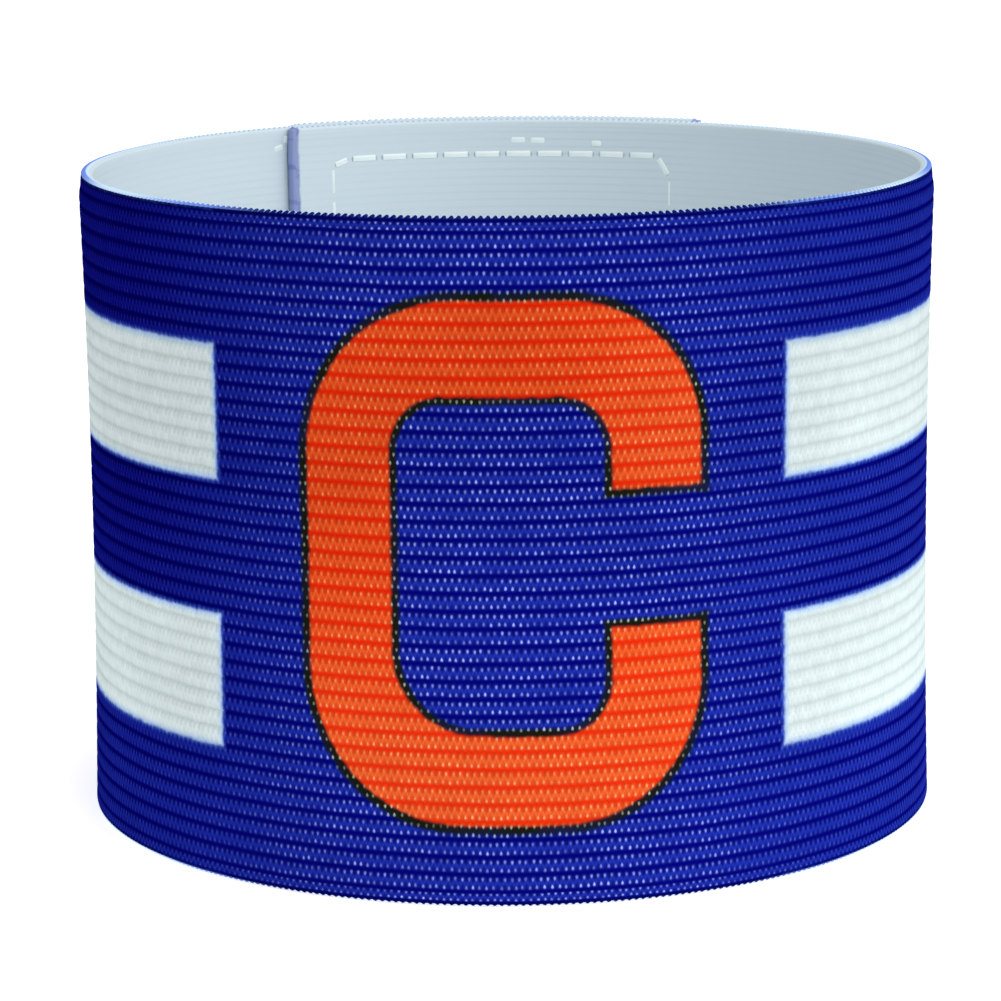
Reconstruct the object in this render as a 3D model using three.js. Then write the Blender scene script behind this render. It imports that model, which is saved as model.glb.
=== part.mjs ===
// A captain's elastic armband, closed into a ring and standing on its lower edge.
// Millimetres, +Z up along the axis of the ring, the printed front towards -Y.
//
// The real thing is one strip of ribbed elastic tape. Its outer end climbs over its inner end at the
// back, and hook and loop tape between the two plies holds it closed. Each strip is extruded flat from
// its cross-section, at its real length, and then rolled onto the ring.

import * as THREE from "three";

// The elastic tape
const BAND_HEIGHT = 70; // width of the tape, which is the height of the ring
const BAND_WALL = 1.3; // thickness of one ply, over the crest of a rib
const RIB_PITCH = 1.81; // height of one rib
const RIB_DEPTH = 0.25; // how far the grooves between ribs are sunk
const SELVEDGE_WIDTH = 1.55; // plain rib along each edge of the tape
const EDGE_ROUND = 0.35; // how far the edge's corners are rounded off

// The ring
const RING_RADIUS = 46; // outer face of the inner ply, at half height
const EDGE_FLARE = 0.5; // how far both edges stand out past the waist
const INNER_END_ANGLE = 34; // degrees from the back (+Y) round towards -X, to the tape's inner end
const OVERLAP_LENGTH = 50; // how far the outer end reaches past the inner end
const CLIMB_LENGTH = 33; // stretch over which the outer ply climbs before the overlap starts

// The fastening between the plies
const LOOP_THICKNESS = 0.6;
const HOOK_THICKNESS = 0.6;
const LAYER_GAP = 0.3; // clearance between one layer and the next
const PATCH_END_MARGIN = 2.5; // from a patch to the tape's end, at both ends of the overlap
const PATCH_EDGE_MARGIN = 4; // from a patch to the tape's edges

// How finely the curves are divided
const FACET_LENGTH = 6.5; // longest facet round the ring
const FLARE_ROWS = 7; // rows of facets up a smooth face

// Dyed elastic outside, undyed nylon tapes between the plies
const FINISHES = {
  band: { color: 0x12169a, roughness: 0.9 },
  loop_patch: { color: 0xe6ebee, roughness: 0.95 },
  hook_patch: { color: 0xdde3e8, roughness: 0.8 },
};

const ringLength = 2 * Math.PI * RING_RADIUS;
const tapeLength = ringLength + OVERLAP_LENGTH;
const plyOffset = BAND_WALL + LOOP_THICKNESS + HOOK_THICKNESS + 3 * LAYER_GAP;

// Outward reach of the tape's outer face at a height: least at the waist, most at both edges.
function flareAt(height) {
  return EDGE_FLARE * (2 * height / BAND_HEIGHT - 1) ** 2;
}

// Outward shift of the tape at a distance from its inner end: none round the ring, then the climb
// over the inner end, then level along the overlap.
function climbAt(distance) {
  return plyOffset * THREE.MathUtils.smoothstep(distance, ringLength - CLIMB_LENGTH, ringLength);
}

// A smooth face of the tape, from one height to another, at a depth inwards of its outer face.
function smoothFace(depth, fromHeight, toHeight) {
  const points = [];
  for (let row = 0; row <= FLARE_ROWS; row += 1) {
    const height = THREE.MathUtils.lerp(fromHeight, toHeight, row / FLARE_ROWS);
    points.push(new THREE.Vector2(flareAt(height) - depth, height));
  }
  return points;
}

// The ribbed outer face of the tape, from the lower selvedge to the upper one.
function ribbedFace(round) {
  const ribbedHeight = BAND_HEIGHT - 2 * SELVEDGE_WIDTH;
  const ribCount = Math.round(ribbedHeight / RIB_PITCH);
  const pitch = ribbedHeight / ribCount;
  const points = [new THREE.Vector2(flareAt(round), round)];
  for (let rib = 0; rib <= ribCount; rib += 1) {
    const groove = SELVEDGE_WIDTH + rib * pitch;
    points.push(new THREE.Vector2(flareAt(groove) - RIB_DEPTH, groove));
    if (rib < ribCount) {
      const crest = groove + pitch / 2;
      points.push(new THREE.Vector2(flareAt(crest), crest));
    }
  }
  points.push(new THREE.Vector2(flareAt(BAND_HEIGHT - round), BAND_HEIGHT - round));
  return points;
}

// Cross-section of the tape: x outwards, y up.
function bandSection() {
  const round = Math.min(EDGE_ROUND, BAND_WALL / 3);
  const edgeOut = flareAt(0) - round;
  const edgeIn = flareAt(0) - BAND_WALL + round;
  return new THREE.Shape([
    new THREE.Vector2(edgeIn, 0),
    new THREE.Vector2(edgeOut, 0),
    ...ribbedFace(round),
    new THREE.Vector2(edgeOut, BAND_HEIGHT),
    new THREE.Vector2(edgeIn, BAND_HEIGHT),
    ...smoothFace(BAND_WALL, BAND_HEIGHT - round, round),
  ]);
}

// Cross-section of a patch whose inner face stands off the inner ply's outer face.
function patchSection(standOff, thickness) {
  const low = PATCH_EDGE_MARGIN;
  const high = BAND_HEIGHT - PATCH_EDGE_MARGIN;
  return new THREE.Shape([
    ...smoothFace(-standOff - thickness, low, high),
    ...smoothFace(-standOff, high, low),
  ]);
}

// A strip extruded flat from its section and rolled onto the ring, starting at a distance from the
// tape's inner end. shiftAt gives its outward shift at each distance.
function rolledStrip(section, start, length, shiftAt) {
  const steps = Math.ceil(length / FACET_LENGTH);
  const strip = new THREE.ExtrudeGeometry(section, { depth: length, steps, bevelEnabled: false });
  const position = strip.getAttribute("position");
  const firstAngle = THREE.MathUtils.degToRad(INNER_END_ANGLE);
  for (let i = 0; i < position.count; i += 1) {
    const distance = start + position.getZ(i);
    const angle = firstAngle - distance / RING_RADIUS;
    const radius = RING_RADIUS + position.getX(i) + shiftAt(distance);
    position.setXYZ(i, -radius * Math.sin(angle), radius * Math.cos(angle), position.getY(i));
  }
  strip.computeVertexNormals();
  return strip;
}

function piece(name, geometry) {
  const material = new THREE.MeshStandardMaterial({ ...FINISHES[name], metalness: 0 });
  const mesh = new THREE.Mesh(geometry, material);
  mesh.name = name;
  return mesh;
}

function makeBand() {
  return piece("band", rolledStrip(bandSection(), 0, tapeLength, climbAt));
}

// Both patches lie over the inner ply, so neither is shifted: they start and end inside the overlap.
function makePatch(name, standOff, thickness) {
  const length = OVERLAP_LENGTH - 2 * PATCH_END_MARGIN;
  return piece(name, rolledStrip(patchSection(standOff, thickness), PATCH_END_MARGIN, length, () => 0));
}

const armband = new THREE.Group();
armband.add(makeBand());
armband.add(makePatch("loop_patch", LAYER_GAP, LOOP_THICKNESS));
armband.add(makePatch("hook_patch", 2 * LAYER_GAP + LOOP_THICKNESS, HOOK_THICKNESS));

// The second ply makes the ring deeper at the back, so the ring is moved until the middle of its
// outline lies on the axis, with the lower edge at height 0.
const outline = new THREE.Box3().setFromObject(armband);
const middle = outline.getCenter(new THREE.Vector3());
armband.position.set(-middle.x, -middle.y, -outline.min.z);

export default armband;
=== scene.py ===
# %% [markdown]
# This script dresses a captain's armband: one wide strip of woven elastic, printed on its outer face
# and closed into a ring by an overlap at the back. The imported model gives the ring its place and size.
# Everything sewn or woven on the tape is modelled flat, where a length is a length, and is then rolled
# onto the ring by one function.

import math

import bmesh
import bpy
from mathutils import Matrix, Vector


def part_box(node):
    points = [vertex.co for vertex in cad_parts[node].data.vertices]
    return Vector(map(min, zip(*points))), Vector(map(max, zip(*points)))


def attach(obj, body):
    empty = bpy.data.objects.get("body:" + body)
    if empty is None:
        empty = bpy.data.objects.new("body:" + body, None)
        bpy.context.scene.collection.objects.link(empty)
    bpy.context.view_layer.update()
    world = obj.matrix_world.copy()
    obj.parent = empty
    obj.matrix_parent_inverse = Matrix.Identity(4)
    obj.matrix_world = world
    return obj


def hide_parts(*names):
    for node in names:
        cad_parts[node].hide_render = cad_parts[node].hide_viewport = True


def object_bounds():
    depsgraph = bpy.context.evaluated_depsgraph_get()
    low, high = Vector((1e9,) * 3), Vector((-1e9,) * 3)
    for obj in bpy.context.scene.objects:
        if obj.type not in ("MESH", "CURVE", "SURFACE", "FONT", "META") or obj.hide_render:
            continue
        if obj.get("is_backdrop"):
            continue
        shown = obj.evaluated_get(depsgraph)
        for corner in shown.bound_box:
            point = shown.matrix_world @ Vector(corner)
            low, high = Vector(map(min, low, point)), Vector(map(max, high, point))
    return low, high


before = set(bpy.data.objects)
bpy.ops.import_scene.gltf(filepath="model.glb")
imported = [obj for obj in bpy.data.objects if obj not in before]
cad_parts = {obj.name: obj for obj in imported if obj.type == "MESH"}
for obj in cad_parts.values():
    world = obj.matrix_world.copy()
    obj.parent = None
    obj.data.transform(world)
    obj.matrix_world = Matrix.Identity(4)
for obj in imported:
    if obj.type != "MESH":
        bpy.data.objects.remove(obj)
CAD_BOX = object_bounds()
print("nodes:", sorted(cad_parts))

# %% [markdown]
# The tape's sizes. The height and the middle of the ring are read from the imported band. The rest are
# the sizes of the elastic itself: how thick it is, how high one rib is, and how far apart two picks of
# the weave lie. The back of the ring is deeper than its front, because two plies lie there.

# %% Sizes of the tape and the ring, in metres
MM = 0.001
BAND_LOW, BAND_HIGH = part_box("band")
BAND_HEIGHT = BAND_HIGH.z - BAND_LOW.z
RING_RADIUS = 46 * MM
EDGE_FLARE = 0.5 * MM
RIM_CURL = 0.35 * MM
CURLED_HEIGHT = 3 * MM
RING_CENTRE_Y = BAND_LOW.y + RING_RADIUS + EDGE_FLARE
BAND_WALL = 1.3 * MM
SELVEDGE_WIDTH = 1.55 * MM
RIB_COUNT = 37
RIB_PITCH = (BAND_HEIGHT - 2 * SELVEDGE_WIDTH) / RIB_COUNT
PICK = 0.722 * MM
INNER_END_ANGLE = math.radians(34)
OVERLAP_LENGTH = 50 * MM
CLIMB_LENGTH = 33 * MM
LAST_CLIMB_LENGTH = 3.2 * MM
PATCH_THICKNESS = 0.6 * MM
LAYER_GAP = 0.3 * MM
RING_LENGTH = math.tau * RING_RADIUS
TAPE_LENGTH = RING_LENGTH + OVERLAP_LENGTH
PLY_OFFSET = BAND_WALL + 2 * PATCH_THICKNESS + 3 * LAYER_GAP
END_OFFSET = BAND_WALL + 0.05 * MM
FRONT_DISTANCE = (INNER_END_ANGLE + math.pi) * RING_RADIUS
print(f"tape {TAPE_LENGTH / MM:.0f} x {BAND_HEIGHT / MM:.0f} mm, {RIB_COUNT + 2} ribs")

# %% [markdown]
# The camera comes first. The photograph was taken from a little above, quite close, with the ring's
# front in the middle. Its distance, height and tilt were found by fitting the four edge curves of the
# ring. The lens follows from the focal length in pixels of a square picture. A tiny turn to the left
# puts the ring as far right of the middle as it is in the photograph, without any lens shift.

# %% Camera
PICTURE_SIDE = 1001
FOCAL_PIXELS = 3864
MIDDLE_PIXEL_X = 509.3
CAMERA_DISTANCE = 0.420
CAMERA_HEIGHT = 0.1184
CAMERA_PITCH = math.radians(11.58)
CAMERA_ROLL = -0.0094


def aimed_camera():
    """A camera at the photograph's place, looking down at the ring's front."""
    forward = Vector((0, math.cos(CAMERA_PITCH), -math.sin(CAMERA_PITCH)))
    level_up = Vector((0, math.sin(CAMERA_PITCH), math.cos(CAMERA_PITCH)))
    right = Vector((1, 0, 0)) * math.cos(CAMERA_ROLL) + level_up * math.sin(CAMERA_ROLL)
    up = right.cross(forward)
    turn = math.atan((MIDDLE_PIXEL_X - PICTURE_SIDE / 2) / FOCAL_PIXELS)
    turned_forward = forward * math.cos(turn) - right * math.sin(turn)
    turned_right = turned_forward.cross(up)
    data = bpy.data.cameras.new("photo_camera")
    data.sensor_width = 36
    data.lens = FOCAL_PIXELS * data.sensor_width / PICTURE_SIDE
    data.clip_start = 0.01
    camera = bpy.data.objects.new("photo_camera", data)
    axes = Matrix((turned_right, up, -turned_forward)).transposed()
    place = Vector((0, RING_CENTRE_Y - CAMERA_DISTANCE, CAMERA_HEIGHT))
    camera.matrix_world = Matrix.Translation(place) @ axes.to_4x4()
    bpy.context.scene.collection.objects.link(camera)
    bpy.context.scene.camera = camera
    return camera


camera = aimed_camera()
print(f"camera with a {camera.data.lens:.1f} mm lens at {[round(c, 4) for c in camera.location]}")

# %% [markdown]
# On the flat tape, X is the distance from the inner end, Y is how far a point stands out from the
# outer face, and Z is its height. Rolling keeps X as an arc length. The tape's edges flare out a
# little, as elastic does, and the uppermost stretch curls in. The outer end climbs over the inner one
# before the overlap begins. It hugs the inner end, and rises to its full height where the hook and loop
# tapes start. Rolling points is simpler than a chain of curve modifiers, and every piece can share it.

# %% From the flat tape to the ring
def smooth_rise(value, start, end):
    """0 before start, 1 after end, and a smooth rise between them."""
    share = min(max((value - start) / (end - start), 0), 1)
    return share * share * (3 - 2 * share)


def on_ring(distance, out, height):
    """The place on the ring of a point of the flat tape."""
    flare = EDGE_FLARE * (2 * height / BAND_HEIGHT - 1) ** 2
    flare -= RIM_CURL * smooth_rise(height, BAND_HEIGHT - CURLED_HEIGHT, BAND_HEIGHT)
    climb = END_OFFSET * smooth_rise(distance, RING_LENGTH - CLIMB_LENGTH, RING_LENGTH)
    last_climb = smooth_rise(distance, RING_LENGTH, RING_LENGTH + LAST_CLIMB_LENGTH)
    climb += (PLY_OFFSET - END_OFFSET) * last_climb
    radius = RING_RADIUS + flare + climb + out
    angle = INNER_END_ANGLE - distance / RING_RADIUS
    return Vector((-radius * math.sin(angle), RING_CENTRE_Y + radius * math.cos(angle), height))


def roll_onto_ring(bm):
    """Moves every vertex of a flat bmesh onto the ring, and keeps its flat place as a UV map."""
    tape_map = bm.loops.layers.uv.get("tape") or bm.loops.layers.uv.new("tape")
    for face in bm.faces:
        for loop in face.loops:
            loop[tape_map].uv = (loop.vert.co.x, loop.vert.co.z)
    for vert in bm.verts:
        vert.co = on_ring(*vert.co)


front = on_ring(FRONT_DISTANCE, 0, BAND_HEIGHT / 2)
print("front of the ring:", [round(c / MM, 2) for c in front], "mm")

# %% [markdown]
# Each finished bmesh becomes one object. It stays at the origin, unturned and unscaled, rides on the
# model's only body, and takes one material.

# %% From a bmesh to a piece
def piece_from(bm, name, material):
    """Makes an object of a bmesh in the ring's place."""
    mesh = bpy.data.meshes.new(name)
    bm.to_mesh(mesh)
    bm.free()
    mesh.shade_smooth()
    mesh.materials.append(material)
    piece = bpy.data.objects.new(name, mesh)
    bpy.context.scene.collection.objects.link(piece)
    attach(piece, "root")
    triangles = sum(len(polygon.vertices) - 2 for polygon in mesh.polygons)
    print(f"{name}: {triangles} triangles")
    return piece


# %% [markdown]
# Procedural finishes are sums of many small nodes. A few short helpers keep them readable: one adds a
# Math node, one a soft step, one a colour mix, and two more make a node group and call it. A group is
# made once and can be called again and again, each time with its own values.

# %% Helpers for node trees
def feed(tree, socket, value):
    """Links a socket to a node's output, or sets it to a plain value."""
    if isinstance(value, bpy.types.NodeSocket):
        tree.links.new(value, socket)
    else:
        socket.default_value = value


def calc(tree, operation, *values):
    """One Math node."""
    node = tree.nodes.new("ShaderNodeMath")
    node.operation = operation
    for socket, value in zip(node.inputs, values):
        feed(tree, socket, value)
    return node.outputs["Value"]


def towards(tree, value, goal, share):
    """A number moved by a share of its way towards a goal."""
    return calc(tree, "ADD", value, calc(tree, "MULTIPLY", share, calc(tree, "SUBTRACT", goal, value)))


def soft_step(tree, value, start, end, low=0.0, high=1.0):
    """low where value is below start, high where it is above end, and smooth between."""
    node = tree.nodes.new("ShaderNodeMapRange")
    node.interpolation_type = "SMOOTHSTEP"
    names = ("Value", "From Min", "From Max", "To Min", "To Max")
    for name, given in zip(names, (value, start, end, low, high)):
        feed(tree, node.inputs[name], given)
    return node.outputs["Result"]


def mix_colour(tree, share, first, second):
    """first where share is 0, second where it is 1."""
    node = tree.nodes.new("ShaderNodeMix")
    node.data_type = "RGBA"
    factor, _, _, _, _, _, colour_a, colour_b = node.inputs[:8]
    feed(tree, factor, share)
    feed(tree, colour_a, first)
    feed(tree, colour_b, second)
    return node.outputs[2]


def noise(tree, vector, scale, detail=2.0):
    """A noise between 0 and 1, mostly near one half."""
    node = tree.nodes.new("ShaderNodeTexNoise")
    feed(tree, node.inputs["Vector"], vector)
    node.inputs["Scale"].default_value = scale
    node.inputs["Detail"].default_value = detail
    return node.outputs["Fac"]


def wandering(tree, vector, scale, reach):
    """A slow shift to either side, by up to a reach in metres."""
    return calc(tree, "MULTIPLY", calc(tree, "SUBTRACT", noise(tree, vector, scale), 0.5), 2 * reach)


def vector_of(tree, x, y, z=0.0):
    """A vector from three numbers or sockets."""
    node = tree.nodes.new("ShaderNodeCombineXYZ")
    for socket, value in zip(node.inputs, (x, y, z)):
        feed(tree, socket, value)
    return node.outputs["Vector"]


def new_group(name, inputs, outputs):
    """An empty node group, with its named input and output sockets."""
    tree = bpy.data.node_groups.new(name, "ShaderNodeTree")
    for label, kind in inputs.items():
        tree.interface.new_socket(name=label, in_out="INPUT", socket_type=f"NodeSocket{kind}")
    for label, kind in outputs.items():
        tree.interface.new_socket(name=label, in_out="OUTPUT", socket_type=f"NodeSocket{kind}")
    given = tree.nodes.new("NodeGroupInput")
    result = tree.nodes.new("NodeGroupOutput")
    return tree, given.outputs, result.inputs


def call_group(tree, group, **values):
    """Places a group in a tree, with its inputs given by name."""
    node = tree.nodes.new("ShaderNodeGroup")
    node.node_tree = group
    for name, value in values.items():
        feed(tree, node.inputs[name], value)
    return node.outputs


def display_colour(red, green, blue):
    """A colour as a screen shows it, from 0 to 255, as the linear colour that a shader needs."""
    shares = (channel / 255 for channel in (red, green, blue))
    return (*(s / 12.92 if s <= 0.04045 else ((s + 0.055) / 1.055) ** 2.4 for s in shares), 1.0)


def new_material(name):
    """An empty material: its tree and its Principled shader."""
    material = bpy.data.materials.new(name)
    material.use_nodes = True
    tree = material.node_tree
    return material, tree, tree.nodes["Principled BSDF"]


def bumped(tree, height, distance):
    """A normal that follows a height from 0 to 1, over a real depth in metres."""
    node = tree.nodes.new("ShaderNodeBump")
    node.inputs["Distance"].default_value = distance
    feed(tree, node.inputs["Height"], height)
    return node.outputs["Normal"]


print("helpers ready")

# %% [markdown]
# The weave. In each rib a zigzag of yarn runs over two covered rubber threads. Where it turns, at a
# quarter and at three quarters of the rib's height, undyed yarn shows as a row of pale specks, and the
# upper row is half a pick out of step with the lower one. Between the upper specks the weave is open,
# and between two ribs lies a groove; the inks darken both with painted shade. On the unprinted inside
# only the two rubber threads of a rib show, as faint lines with painted shade. All of it repeats with
# the pick and the rib, so it is worked out from the tape's own map and needs no picture.

# %% The weave group
SPECK_ROW = 0.27
SPECK_WIDTH = 0.15 * MM
SPECK_HEIGHT = 0.22 * MM
EDGE_RIB_PITCH = 1.1 * MM
PICK_SWAY = 0.25 * MM
RIB_RIPPLE = 0.15 * MM


def weave_group():
    """Masks for the grooves, specks, strands, holes and threads of the ribbed weave."""
    masks = dict.fromkeys(("Groove", "Speck", "Strand", "Hole", "Fleck", "Thread"), "Float")
    tree, given, result = new_group("ribbed_weave", {"Distance": "Float", "Height": "Float"}, masks)
    flat = vector_of(tree, given["Distance"], given["Height"])
    distance = calc(tree, "ADD", given["Distance"], wandering(tree, flat, 90, PICK_SWAY))
    elsewhere = vector_of(tree, given["Distance"], given["Height"], 0.3)
    height = calc(tree, "ADD", given["Height"], wandering(tree, elsewhere, 70, RIB_RIPPLE))
    rib = calc(tree, "DIVIDE", calc(tree, "SUBTRACT", height, SELVEDGE_WIDTH), RIB_PITCH)

    # The rib along each edge is narrower, so its rows of specks lie closer together.
    squeeze = 1 / EDGE_RIB_PITCH - 1 / RIB_PITCH
    over_top = calc(tree, "SUBTRACT", given["Height"], BAND_HEIGHT - SELVEDGE_WIDTH)
    past_top = calc(tree, "MAXIMUM", over_top, 0.0)
    past_bottom = calc(tree, "MAXIMUM", calc(tree, "SUBTRACT", SELVEDGE_WIDTH, given["Height"]), 0.0)
    squeezed = calc(tree, "MULTIPLY", calc(tree, "SUBTRACT", past_top, past_bottom), squeeze)
    rib = calc(tree, "ADD", calc(tree, "ADD", rib, squeezed), 2.0)
    in_rib = calc(tree, "FRACT", rib)
    from_groove = calc(tree, "PINGPONG", rib, 0.5)
    upper = calc(tree, "GREATER_THAN", in_rib, 0.5)
    pick = calc(tree, "DIVIDE", distance, PICK)
    own_pick = calc(tree, "ADD", pick, calc(tree, "MULTIPLY", upper, 0.5))
    row = calc(tree, "ADD", calc(tree, "FLOOR", rib), calc(tree, "MULTIPLY", upper, 0.37))

    # Three random numbers for each speck: its shift along, its shift up and its brightness.
    chance = tree.nodes.new("ShaderNodeTexWhiteNoise")
    chance.noise_dimensions = "2D"
    feed(tree, chance.inputs["Vector"], vector_of(tree, calc(tree, "FLOOR", own_pick), row))
    split = tree.nodes.new("ShaderNodeSeparateXYZ")
    tree.links.new(chance.outputs["Color"], split.inputs["Vector"])
    shift_along = calc(tree, "MULTIPLY", calc(tree, "SUBTRACT", split.outputs["X"], 0.5), 0.26)
    shift_up = calc(tree, "MULTIPLY", calc(tree, "SUBTRACT", split.outputs["Y"], 0.5), 0.07)
    fleck = split.outputs["Z"]

    # Each speck is a drop with its tail towards the middle of the rib.
    from_speck = calc(tree, "SUBTRACT", calc(tree, "FRACT", own_pick), 0.5)
    aside = calc(tree, "MULTIPLY", calc(tree, "SUBTRACT", from_speck, shift_along), PICK)
    across = calc(tree, "SUBTRACT", from_groove, calc(tree, "ADD", shift_up, SPECK_ROW))
    across = calc(tree, "MULTIPLY", across, RIB_PITCH)
    taper = soft_step(tree, across, -SPECK_HEIGHT, 1.6 * SPECK_HEIGHT, 1.15, 0.5)
    wide = calc(tree, "DIVIDE", aside, calc(tree, "MULTIPLY", taper, SPECK_WIDTH))
    long = calc(tree, "DIVIDE", across, SPECK_HEIGHT)
    reach = calc(tree, "ADD", calc(tree, "MULTIPLY", wide, wide), calc(tree, "MULTIPLY", long, long))
    speck = soft_step(tree, calc(tree, "SQRT", reach), 0.25, 1.3, 1.0, 0.0)

    # Some stretches of a row show more undyed yarn than others, and the upper row shows less.
    slow_along = calc(tree, "MULTIPLY", distance, 0.35)
    stretch = vector_of(tree, slow_along, calc(tree, "MULTIPLY", row, RIB_PITCH))
    patchy = soft_step(tree, noise(tree, stretch, 420), 0.35, 0.64, 0.35, 1.0)
    lively = calc(tree, "ADD", calc(tree, "MULTIPLY", fleck, 0.6), 0.4)
    row_share = soft_step(tree, upper, 0.0, 1.0, 1.0, 0.72)
    speck = calc(tree, "MULTIPLY", speck, calc(tree, "MULTIPLY", lively, row_share))
    speck = calc(tree, "MULTIPLY", speck, patchy)
    to_edge = calc(tree, "MINIMUM", given["Height"], calc(tree, "SUBTRACT", BAND_HEIGHT, given["Height"]))
    speck = calc(tree, "MULTIPLY", speck, soft_step(tree, to_edge, 0.35 * MM, 0.5 * MM))

    # The strands join a speck below to the two nearest specks above.
    climb = soft_step(tree, in_rib, SPECK_ROW, 1 - SPECK_ROW)
    from_lower = calc(tree, "ABSOLUTE", calc(tree, "SUBTRACT", calc(tree, "FRACT", pick), 0.5))
    off_strand = calc(tree, "SUBTRACT", from_lower, calc(tree, "MULTIPLY", climb, 0.5))
    strand = soft_step(tree, calc(tree, "ABSOLUTE", off_strand), 0.04, 0.28, 1.0, 0.0)

    between = calc(tree, "SUBTRACT", 0.5, calc(tree, "ABSOLUTE", from_speck))
    hole_wide = calc(tree, "DIVIDE", between, 0.26)
    hole_long = calc(tree, "DIVIDE", calc(tree, "SUBTRACT", from_groove, 0.22), 0.2)
    hole_squares = [calc(tree, "MULTIPLY", reach, reach) for reach in (hole_wide, hole_long)]
    hole_reach = calc(tree, "ADD", *hole_squares)
    hole = soft_step(tree, hole_reach, 0.15, 1.4, 1.0, 0.0)
    hole = calc(tree, "MULTIPLY", hole, soft_step(tree, upper, 0.0, 1.0, 0.65, 1.0))

    feed(tree, result["Groove"], soft_step(tree, from_groove, 0.04, 0.25, 1.0, 0.0))
    feed(tree, result["Speck"], speck)
    feed(tree, result["Strand"], strand)
    feed(tree, result["Hole"], hole)
    feed(tree, result["Fleck"], fleck)
    feed(tree, result["Thread"], soft_step(tree, calc(tree, "PINGPONG", rib, 0.25), 0.02, 0.14, 1.0, 0.0))
    return tree


WEAVE = weave_group()
print("weave group:", len(WEAVE.nodes), "nodes")

# %% [markdown]
# The print. Two white bars run round each side, and a plain block letter stands in front. A rounded
# box is the easiest outline to work out in nodes: its distance is negative inside and positive
# outside. The letter is a large rounded box, less a smaller one, less the mouth on its right.

# %% Outline groups for the print
def rounded_box_group():
    """Distance to the outline of a box with round corners."""
    sizes = dict.fromkeys(("Along", "Up", "Left", "Right", "Low", "High", "Round"), "Float")
    tree, given, result = new_group("rounded_box", sizes, {"Distance": "Float"})
    reaches = []
    for place, low, high in (("Along", "Left", "Right"), ("Up", "Low", "High")):
        middle = calc(tree, "MULTIPLY", calc(tree, "ADD", given[low], given[high]), 0.5)
        half = calc(tree, "MULTIPLY", calc(tree, "SUBTRACT", given[high], given[low]), 0.5)
        core = calc(tree, "SUBTRACT", half, given["Round"])
        away = calc(tree, "ABSOLUTE", calc(tree, "SUBTRACT", given[place], middle))
        reaches.append(calc(tree, "SUBTRACT", away, core))
    outside = [calc(tree, "MAXIMUM", reach, 0.0) for reach in reaches]
    squares = [calc(tree, "MULTIPLY", reach, reach) for reach in outside]
    corner = calc(tree, "SQRT", calc(tree, "ADD", *squares))
    inside = calc(tree, "MINIMUM", calc(tree, "MAXIMUM", *reaches), 0.0)
    feed(tree, result["Distance"], calc(tree, "SUBTRACT", calc(tree, "ADD", corner, inside), given["Round"]))
    return tree


ROUNDED_BOX = rounded_box_group()

BAR_COUNT = 2
BAR_HEIGHT = BAND_HEIGHT / (2 * BAR_COUNT + 1)
BAR_LEFT_END = -32.2 * MM
BAR_RIGHT_END = 30.0 * MM

LETTER_LEFT = -21.1 * MM
LETTER_RIGHT = 19.95 * MM
LETTER_LOW = 8.15 * MM
LETTER_HIGH = 61.9 * MM
LETTER_ROUND = 14.7 * MM
LETTER_BACK_ROUND = 16.2 * MM
STEM_WIDTH = 9.3 * MM
TOP_ARM_HEIGHT = 10.05 * MM
BOTTOM_ARM_HEIGHT = 9.7 * MM
TERMINAL_WIDTH = 9.9 * MM
COUNTER_ROUND = 5.2 * MM
HEEL_ROUND = 8.6 * MM
MOUTH_LOW = 28.7 * MM
MOUTH_HIGH = 42.3 * MM
MOUTH_ROUND = 0.3 * MM


def letter_group():
    """Distances to the outlines of a plain block letter C and of its body: negative inside."""
    distances = {"Distance": "Float", "Body": "Float"}
    tree, given, result = new_group("block_letter", {"Along": "Float", "Up": "Float"}, distances)
    place = {"Along": given["Along"], "Up": given["Up"]}
    at_back = calc(tree, "LESS_THAN", given["Along"], 0.0)
    body_round = towards(tree, LETTER_ROUND, LETTER_BACK_ROUND, at_back)
    body = call_group(
        tree, ROUNDED_BOX, **place,
        Left=LETTER_LEFT, Right=LETTER_RIGHT, Low=LETTER_LOW, High=LETTER_HIGH, Round=body_round,
    )["Distance"]
    at_heel = calc(tree, "MINIMUM", at_back, calc(tree, "LESS_THAN", given["Up"], MOUTH_LOW))
    counter_round = towards(tree, COUNTER_ROUND, HEEL_ROUND, at_heel)
    counter = call_group(
        tree, ROUNDED_BOX, **place,
        Left=LETTER_LEFT + STEM_WIDTH, Right=LETTER_RIGHT - TERMINAL_WIDTH,
        Low=LETTER_LOW + BOTTOM_ARM_HEIGHT, High=LETTER_HIGH - TOP_ARM_HEIGHT, Round=counter_round,
    )["Distance"]
    mouth = call_group(
        tree, ROUNDED_BOX, **place,
        Left=0.0, Right=2 * LETTER_RIGHT, Low=MOUTH_LOW, High=MOUTH_HIGH, Round=MOUTH_ROUND,
    )["Distance"]
    opening = calc(tree, "MINIMUM", counter, mouth)
    feed(tree, result["Distance"], calc(tree, "MAXIMUM", body, calc(tree, "MULTIPLY", opening, -1.0)))
    feed(tree, result["Body"], body)
    return tree


LETTER = letter_group()
print(f"bars of {BAR_HEIGHT / MM:.0f} mm, letter {(LETTER_HIGH - LETTER_LOW) / MM:.0f} mm high")
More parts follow.
